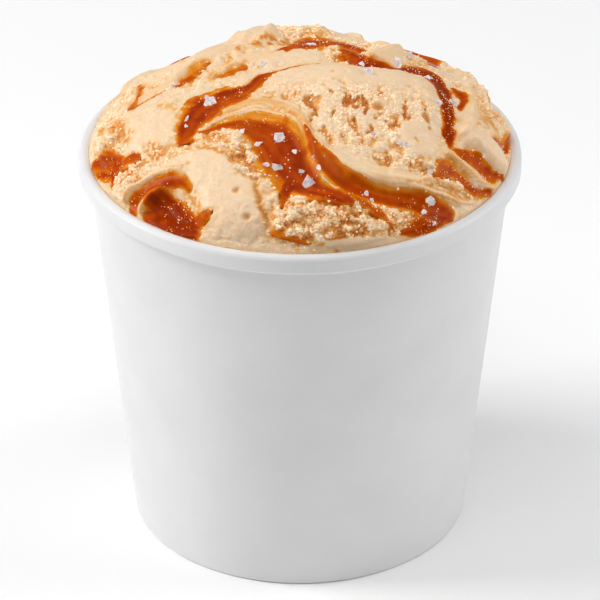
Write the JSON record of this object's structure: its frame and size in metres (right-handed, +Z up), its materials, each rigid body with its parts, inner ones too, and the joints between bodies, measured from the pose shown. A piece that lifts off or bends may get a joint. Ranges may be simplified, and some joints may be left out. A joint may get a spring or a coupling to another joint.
{
  "type": "ice cream pint",
  "caption": "Round tapered paperboard tub with a rolled rim, filled with caramel swirl ice cream heaped in a dome above the rim.",
  "frame": {"origin": "middle of the ring that the tub stands on, on the floor plane", "axes": "+Z up the tub's axis, -Y the side that the caramel swoop faces, +Y the side with the tub's lap seam"},
  "size_m": [0.099, 0.099, 0.112],
  "materials": {
    "paperboard": "satin",
    "ice_cream": "satin",
    "caramel": "gloss",
    "salt": "satin"
  },
  "bodies": {
    "root": {"side_wall": "paperboard", "base_disc": "paperboard", "ice_cream": "ice_cream"}
  },
  "joints": []
}
